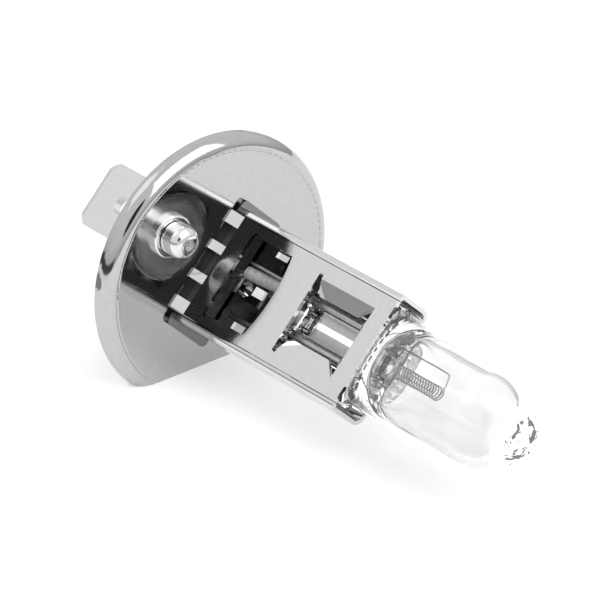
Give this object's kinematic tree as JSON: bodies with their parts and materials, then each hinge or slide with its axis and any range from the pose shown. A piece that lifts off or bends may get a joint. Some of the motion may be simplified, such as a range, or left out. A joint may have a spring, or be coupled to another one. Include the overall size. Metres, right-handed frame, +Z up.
{
  "type": "headlight bulb",
  "caption": "Halogen headlight bulb: clear quartz glass with an axial filament in a slotted sheet-steel body on a round locating flange, with a flat blade terminal.",
  "frame": {"origin": "centre of the flange's front face, on the lamp axis: the lamp's reference plane", "axes": "-Y along the glass towards its tip, +Z up with the flange standing on its flat chord, +X to the right seen from the glass end's side (from -Y)"},
  "size_m": [0.0232, 0.0549, 0.0194],
  "materials": {
    "flange_steel": "satin",
    "body_steel": "satin",
    "pin_steel": "gloss",
    "quartz_glass": "gloss",
    "tungsten": "satin",
    "molybdenum": "satin",
    "sleeve_fibre": "matte",
    "terminal_metal": "satin",
    "insulator": "matte"
  },
  "bodies": {
    "root": {"flange_disc": "flange_steel", "locating_pin": "pin_steel", "pin_collar": "pin_steel", "front_shell": "body_steel", "rear_shell": "body_steel", "glass_envelope": "quartz_glass", "exhaust_tip": "quartz_glass", "pinch_seal": "quartz_glass", "filament_coil": "tungsten", "return_lead": "tungsten", "short_lead": "tungsten", "foil_live": "molybdenum", "foil_ground": "molybdenum", "outer_lead_live": "molybdenum", "outer_lead_ground": "molybdenum", "lead_sleeve": "sleeve_fibre", "stay_wire": "molybdenum", "weld_nuggets": "body_steel", "contact_strip": "terminal_metal", "insulator_bush": "insulator", "insulator_block": "insulator", "terminal_blade": "terminal_metal", "terminal_rivet": "terminal_metal"}
  },
  "joints": []
}
